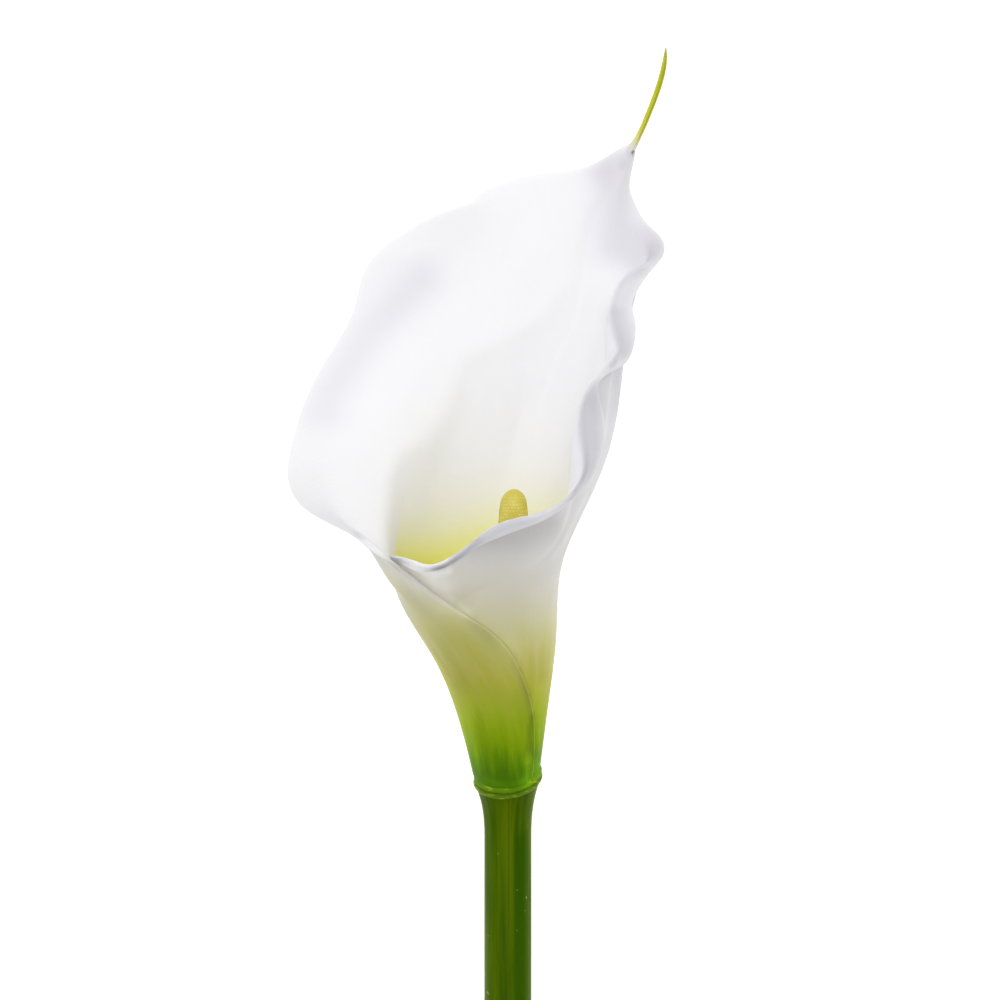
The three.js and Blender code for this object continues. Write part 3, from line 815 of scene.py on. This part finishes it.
class Paint:
    """A material and short ways to add the nodes that colour it.

    Most methods return the socket that the next node takes; heights are in millimetres.
    """

    def __init__(self, name):
        self.material = bpy.data.materials.new(name)
        self.material.use_nodes = True
        self.tree = self.material.node_tree
        self.shader = self.tree.nodes["Principled BSDF"]

    def add(self, kind, inputs, **settings):
        """A node with its inputs fed and its settings set."""
        made = self.tree.nodes.new(kind)
        for key, setting in settings.items():
            setattr(made, key, setting)
        self.feed(made, inputs)
        return made

    def feed(self, made, inputs):
        """Links sockets to a node's inputs, and sets plain values on them."""
        for key, source in inputs.items():
            if isinstance(source, bpy.types.NodeSocket):
                self.tree.links.new(source, made.inputs[key])
            else:
                made.inputs[key].default_value = source

    def value(self, name):
        """A value of the mesh, such as the turn round the roll."""
        return self.add("ShaderNodeAttribute", {}, attribute_name=name).outputs["Fac"]

    def math(self, operation, first, second=0.0):
        return self.add("ShaderNodeMath", {0: first, 1: second}, operation=operation).outputs[0]

    def times(self, first, second):
        return self.math("MULTIPLY", first, second)

    def plus(self, first, second):
        return self.math("ADD", first, second)

    def scaled(self, source, low, high, new_low=0.0, new_high=1.0):
        """Source carried smoothly from the range low to high to the range new_low to new_high."""
        inputs = {"Value": source, "From Min": low, "From Max": high,
                  "To Min": new_low, "To Max": new_high}
        made = self.add("ShaderNodeMapRange", inputs, interpolation_type="SMOOTHSTEP")
        return made.outputs["Result"]

    def vector(self, x, y, z=0.0):
        """Three numbers as one vector."""
        return self.add("ShaderNodeCombineXYZ", {"X": x, "Y": y, "Z": z}).outputs[0]

    def noise(self, vector, scale, detail=2.0, roughness=0.5):
        """Soft noise from 0 to 1 round a middle of 0.5."""
        inputs = {"Vector": vector, "Scale": scale, "Detail": detail, "Roughness": roughness}
        return self.add("ShaderNodeTexNoise", inputs).outputs["Fac"]

    def ramp(self, source, low, high, stops):
        """Colours at values from low to high, blended evenly between them."""
        made = self.add("ShaderNodeValToRGB", {})
        inputs = {"Value": source, "From Min": low, "From Max": high}
        share = self.add("ShaderNodeMapRange", inputs).outputs["Result"]
        self.tree.links.new(share, made.inputs["Fac"])
        elements = made.color_ramp.elements
        while len(elements) < len(stops):
            elements.new(0.5)
        for element, (stop, colour) in zip(elements, stops):
            element.position = (stop - low) / (high - low)
            element.color = srgb(*colour)
        return made.outputs["Color"]

    def mix(self, factor, first, second):
        """A colour that goes from first to second as factor goes from 0 to 1."""
        made = self.add("ShaderNodeMix", {}, data_type="RGBA")
        self.feed(made, {0: factor, 6: first, 7: second})
        return made.outputs[2]

    def lit(self, colour, lightness):
        """A colour times a number."""
        inputs = {0: colour, "Scale": lightness}
        return self.add("ShaderNodeVectorMath", inputs, operation="SCALE").outputs[0]

    def object_place(self):
        """The place on the object, in metres."""
        return self.add("ShaderNodeTexCoord", {}).outputs["Object"]

    def bump(self, height, distance, strength, normal=None):
        """Surface detail, on top of another bump's where normal is given; distance in metres."""
        inputs = {"Height": height, "Distance": distance, "Strength": strength}
        if normal is not None:
            inputs["Normal"] = normal
        return self.add("ShaderNodeBump", inputs).outputs["Normal"]


OUTSIDE_SPAN = (-4, 76)
OUTSIDE_COLOURS = [  # height above the collar in millimetres, colour
    (-4, (80, 124, 2)), (3, (84, 130, 2)), (6, (104, 148, 2)), (10.8, (139, 173, 4)),
    (15.6, (160, 186, 25)), (20.4, (177, 190, 54)), (25.2, (192, 192, 77)), (30, (205, 202, 109)),
    (34.8, (217, 212, 144)), (39.6, (221, 217, 175)), (44.4, (223, 219, 199)), (49.2, (224, 221, 213)),
    (56, (224, 222, 224)), (75, (224, 223, 228)),
]
INSIDE_SPAN = (20, 84)
INSIDE_COLOURS = [
    (20, (146, 175, 18)), (42, (200, 200, 40)), (48, (222, 216, 56)), (52, (234, 228, 82)),
    (56, (240, 235, 124)), (60, (243, 240, 172)), (65, (244, 242, 208)), (72, (244, 242, 232)),
    (84, (244, 243, 249)),
]
LIMB_COLOUR = srgb(245, 244, 252)
UPPER_RIDGE_COLOUR = srgb(100, 144, 4)
LOWER_RIDGE_COLOUR = srgb(92, 128, 8)
RIDGE_STREAK_COLOUR = srgb(170, 186, 40)
CREASE_SHADE_COLOUR = srgb(58, 88, 2)
TAIL_SHADE_COLOUR = srgb(138, 140, 24)
TAIL_COLOURS = [  # share of its length
    (0, (228, 227, 230)), (0.26, (227, 225, 216)), (0.35, (226, 222, 188)), (0.43, (220, 216, 142)),
    (0.53, (204, 204, 84)), (0.7, (192, 194, 44)), (0.9, (176, 182, 44)), (1, (120, 120, 62)),
]
TAIL_START = (0.18, 0.32)  # its colours come in over this share of the tail

# Streaks along the tube: fineness round it and along it, and how far they shift the colours
STREAK_FINENESS = (0.07, 0.045)
STREAK_HEIGHTS = (10, 50)
STREAK_SHIFTS = (16, 5)
# The roll's outer end is greener above its foot: its turns, heights and the shift of the colours
WRAP_TURNS = (60, -10)
WRAP_HEIGHTS = (26, 38)
WRAP_SHIFT = 5
# The left of the throat is paler, by this shift of the colours
PALE_TURNS = (195, 120)
PALE_SHIFT = 4
# The limb's colour takes over from the throat's at these places, and sooner toward the outer end
LIMB_PLACES = (0.7, 0.63)
LIMB_SPREAD_TURNS = (92, 50)
LIMB_SPREAD = 0.2
# Painted shade down the right of the tail's upper face, between these turns and past this share of the
# length
TAIL_SHADE_TURNS = (290, 340), (360, 352)
TAIL_SHADE_START = (0.2, 0.5)

NOISE_SPAN = (0.3, 0.7)  # the values that most of a soft noise lies between

RIND_SPAN = (0.3, 0.72)
RIND_COLOURS = [(0.3, (58, 92, 0)), (0.5, (84, 112, 0)), (0.72, (106, 124, 0))]  # noise, colour
THREAD_COLOUR = srgb(112, 128, 4)
SHADED_COLOUR = srgb(48, 92, 0)
SPECK_COLOUR = srgb(190, 200, 120)
PITH_COLOURS = [(0.3, (176, 190, 118)), (0.7, (222, 226, 180))]
CUT_RIM_COLOUR = srgb(104, 136, 30)
# A darker band down the right of the stem: its turns and the heights that it starts at
SHADED_TURNS = (298, 318), (352, 338)
SHADED_HEIGHTS = (-8, -14)

POLLEN_COLOURS = [(0.3, (222, 208, 84)), (0.7, (242, 230, 122))]
BETWEEN_FLORETS_SHADE_COLOUR = srgb(196, 174, 46)


def outside_colour(paint, turn, height):
    """Green at the foot of the funnel, then white, in streaks that run along it."""
    round_it, along_it = STREAK_FINENESS
    streak_place = paint.vector(paint.times(turn, round_it), paint.times(height, along_it))
    streak_noise = paint.noise(streak_place, scale=1.0, detail=4.0, roughness=0.62)
    streaks = paint.math("SUBTRACT", streak_noise, 0.5)
    shift = paint.scaled(height, *STREAK_HEIGHTS, *STREAK_SHIFTS)
    streaked = paint.plus(height, paint.times(streaks, shift))
    wrap = paint.times(
        paint.scaled(turn, *WRAP_TURNS), paint.scaled(height, *WRAP_HEIGHTS, 0, WRAP_SHIFT))
    return paint.ramp(paint.math("SUBTRACT", streaked, wrap), *OUTSIDE_SPAN, OUTSIDE_COLOURS)


def inside_colour(paint, turn, place, height):
    """Yellow down the throat, and the white of the spread limb."""
    paler = paint.plus(height, paint.scaled(turn, *PALE_TURNS, 0, PALE_SHIFT))
    throat = paint.ramp(paler, *INSIDE_SPAN, INSIDE_COLOURS)
    spread = paint.plus(place, paint.scaled(turn, *LIMB_SPREAD_TURNS, 0, LIMB_SPREAD))
    return paint.mix(paint.scaled(spread, *LIMB_PLACES), LIMB_COLOUR, throat)


def tail_colour(paint, turn, tail):
    """White at the tail's foot to yellow-green, with painted shade down the right of its upper face.
    """
    # furrow here masks the painted shade, not the furrow that the tail's shape has
    first, last = TAIL_SHADE_TURNS
    furrow = paint.times(paint.scaled(turn, *first), paint.scaled(tail, *TAIL_SHADE_START))
    furrow = paint.times(furrow, paint.scaled(turn, *last))
    rolled_tip = paint.ramp(tail, 0, 1, TAIL_COLOURS)
    return paint.mix(paint.times(furrow, 0.6), rolled_tip, TAIL_SHADE_COLOUR)


def collar_colour(paint, turn, place, height):
    """Two green ridges with pale streaks, and painted shade in the crease between them, where place is
    0.
    """
    streak_place = paint.vector(paint.times(turn, 0.03), height)
    streak_noise = paint.noise(streak_place, scale=1.4, detail=3.0)
    streaks = paint.scaled(streak_noise, 0.5, 0.72, 0, 0.8)
    ridge = paint.mix(paint.scaled(place, -0.3, 0.3), LOWER_RIDGE_COLOUR, UPPER_RIDGE_COLOUR)
    ridge = paint.mix(streaks, ridge, RIDGE_STREAK_COLOUR)
    # Painted shade in the crease
    crease = paint.scaled(paint.math("ABSOLUTE", place), 0.3, 0, 0, 0.7)
    return paint.mix(crease, ridge, CREASE_SHADE_COLOUR)


def spathe_material():
    """Waxy translucent flesh."""
    paint = Paint("spathe_flesh")
    turn, place, height = paint.value("turn"), paint.value("place"), paint.value("height")
    tail = paint.value("tail")

    outer = outside_colour(paint, turn, height)
    colour = paint.mix(paint.value("inside"), outer, inside_colour(paint, turn, place, height))
    colour = paint.mix(paint.scaled(tail, *TAIL_START), colour, tail_colour(paint, turn, tail))
    colour = paint.mix(paint.value("bead"), colour, collar_colour(paint, turn, place, height))
    # tone lightens or darkens the colour: painted light and shade, and the dark speck at the tail
    colour = paint.lit(colour, paint.plus(paint.value("tone"), 1.0))

    fibre_place = paint.vector(paint.times(turn, 1.1), paint.times(height, 0.05))
    fibres = paint.noise(fibre_place, scale=1.0, detail=3.0, roughness=0.6)
    grain = paint.noise(paint.object_place(), scale=1400.0)
    dapple = paint.noise(paint.object_place(), scale=160.0, detail=3.0)
    soft = paint.bump(fibres, distance=0.00012, strength=0.5)
    paint.feed(paint.shader, {
        "Base Color": colour,
        "Roughness": paint.scaled(dapple, *NOISE_SPAN, 0.4, 0.52),
        "Normal": paint.bump(grain, distance=0.00003, strength=0.5, normal=soft),
        "Subsurface Weight": 0.8,
        "Subsurface Radius": (1.0, 0.97, 0.9),
        "Subsurface Scale": 0.003,
        "Specular IOR Level": paint.scaled(height, 10, 50, 0.06, 0.2),
    })
    return paint.material


def stem_material():
    """Green rind with threads along it and pale specks, and pith where cut is above 0."""
    paint = Paint("stem_rind")
    turn, height, cut = paint.value("turn"), paint.value("height"), paint.value("cut")
    angle = paint.math("RADIANS", turn)
    across, front = paint.math("SINE", angle), paint.math("COSINE", angle)

    band_place = paint.vector(across, front, paint.times(height, 0.012))
    bands = paint.noise(band_place, scale=1.7, detail=3.0, roughness=0.55)
    thread_place = paint.vector(
        paint.times(across, 9.0), paint.times(front, 9.0), paint.times(height, 0.03))
    threads = paint.noise(thread_place, scale=1.0, detail=4.0, roughness=0.6)
    rind = paint.ramp(bands, *RIND_SPAN, RIND_COLOURS)
    rind = paint.mix(paint.scaled(threads, 0.42, 0.75, 0, 0.2), rind, THREAD_COLOUR)
    first, last = SHADED_TURNS
    shaded = paint.times(paint.scaled(turn, *first), paint.scaled(turn, *last))
    shaded = paint.times(shaded, paint.scaled(height, *SHADED_HEIGHTS))
    rind = paint.mix(paint.times(shaded, 0.8), rind, SHADED_COLOUR)
    speck_noise = paint.noise(paint.object_place(), scale=520.0, detail=1.0)
    rind = paint.mix(paint.scaled(speck_noise, 0.74, 0.8, 0, 0.7), rind, SPECK_COLOUR)

    cells = paint.noise(paint.object_place(), scale=2600.0)
    pith = paint.ramp(cells, *NOISE_SPAN, PITH_COLOURS)
    pith = paint.mix(paint.scaled(cut, 0.1, 0.0), pith, CUT_RIM_COLOUR)

    ridges = paint.bump(threads, distance=0.0002, strength=0.35)
    grain = paint.noise(paint.object_place(), scale=2200.0)
    paint.feed(paint.shader, {
        "Base Color": paint.mix(paint.math("GREATER_THAN", cut, 0.0), rind, pith),
        "Roughness": paint.scaled(threads, *NOISE_SPAN, 0.3, 0.42),
        "Normal": paint.bump(grain, distance=0.00003, strength=0.35, normal=ridges),
        "Subsurface Weight": 0.15,
        "Subsurface Radius": (0.5, 1.0, 0.3),
        "Subsurface Scale": 0.0012,
        "Specular IOR Level": 0.025,
    })
    return paint.material


def spadix_material():
    """Yellow pollen over the florets, with painted shade in the gaps between them."""
    paint = Paint("spadix_pollen")
    dome = paint.value("dome")
    tone = paint.noise(paint.object_place(), scale=260.0, detail=3.0)
    warm = paint.ramp(tone, *NOISE_SPAN, POLLEN_COLOURS)
    grain = paint.noise(paint.object_place(), scale=4200.0)
    paint.feed(paint.shader, {
        # Painted shade between the florets
        "Base Color": paint.mix(
            paint.scaled(dome, 0.0, 0.8, 0.55, 0.0), warm, BETWEEN_FLORETS_SHADE_COLOUR),
        "Roughness": paint.scaled(tone, *NOISE_SPAN, 0.6, 0.75),
        "Normal": paint.bump(grain, distance=0.00005, strength=0.6),
        "Subsurface Weight": 0.2,
        "Subsurface Radius": (1.0, 0.8, 0.3),
        "Subsurface Scale": 0.001,
    })
    return paint.material


# ---- The flower ----

def dress(piece, material, node):
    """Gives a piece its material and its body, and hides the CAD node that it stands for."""
    piece.data.materials.clear()
    piece.data.materials.append(material)
    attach(piece, "root")
    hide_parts(node)


spathe = drop_crumbs(join_solids(sheet_object(), bead_object(), tail_object()))
dress(spathe, spathe_material(), "spathe")
dress(stem_object(), stem_material(), "stem")
dress(spadix_object(), spadix_material(), "spadix")


# ---- Studio ----

def studio_floor():
    """A pale floor with a glow of its own, as a lit studio table has."""
    mesh = bpy.data.meshes.new("floor")
    corners = [(FLOOR_REACH * x, FLOOR_REACH * y, 0) for x, y in ((-1, -1), (1, -1), (1, 1), (-1, 1))]
    mesh.from_pydata(corners, [], [(0, 1, 2, 3)])
    paint = Paint("floor_white")
    paint.feed(paint.shader, {
        "Base Color": (0.92, 0.92, 0.92, 1),
        "Roughness": 0.9,
        "Emission Color": (1, 1, 1, 1),
        "Emission Strength": FLOOR_GLOW,
    })
    mesh.materials.append(paint.material)
    link("floor", mesh)


def key_light():
    """A large soft light that faces the bloom."""
    light = bpy.data.lights.new("key_light", "AREA")
    light.shape = "DISK"
    light.size = KEY_SIZE
    light.energy = KEY_POWER
    made = link("key_light", light)
    made.location = flower(*KEY_PLACE)
    made.rotation_euler = (flower(*KEY_AIM) - made.location).to_track_quat("-Z", "Y").to_euler()
    made.visible_camera = False


def studio_tent():
    """A white tent, bright overhead and beyond the tip; the camera sees it plain white."""
    world = bpy.data.worlds.new("tent")
    world.use_nodes = True
    tree = world.node_tree
    background = tree.nodes["Background"]

    def maths(operation, first, second):
        node = tree.nodes.new("ShaderNodeMath")
        node.operation = operation
        for socket, source in zip(node.inputs, (first, second)):
            if isinstance(source, bpy.types.NodeSocket):
                tree.links.new(source, socket)
            else:
                socket.default_value = source
        return node.outputs[0]

    way = tree.nodes.new("ShaderNodeSeparateXYZ")
    tree.links.new(tree.nodes.new("ShaderNodeTexCoord").outputs["Generated"], way.inputs[0])
    top = maths("MULTIPLY", maths("MAXIMUM", way.outputs["Z"], 0), TENT_TOP_LIGHT)
    back = maths("MULTIPLY", maths("MAXIMUM", way.outputs["Y"], 0), TENT_BACK_LIGHT)
    seen = tree.nodes.new("ShaderNodeLightPath").outputs["Is Camera Ray"]
    tree.links.new(maths("MAXIMUM", maths("ADD", top, back), seen), background.inputs["Strength"])
    background.inputs["Color"].default_value = (1, 1, 1, 1)
    bpy.context.scene.world = world


studio_floor()
key_light()
studio_tent()
bpy.context.scene.view_settings.view_transform = "Standard"

camera = link("camera", bpy.data.cameras.new("camera"))
camera.location = flower(*CAMERA_MIDDLE, CAMERA_HEIGHT)
camera.data.lens = CAMERA_LENS
camera.data.sensor_width = CAMERA_SENSOR
bpy.context.scene.camera = camera
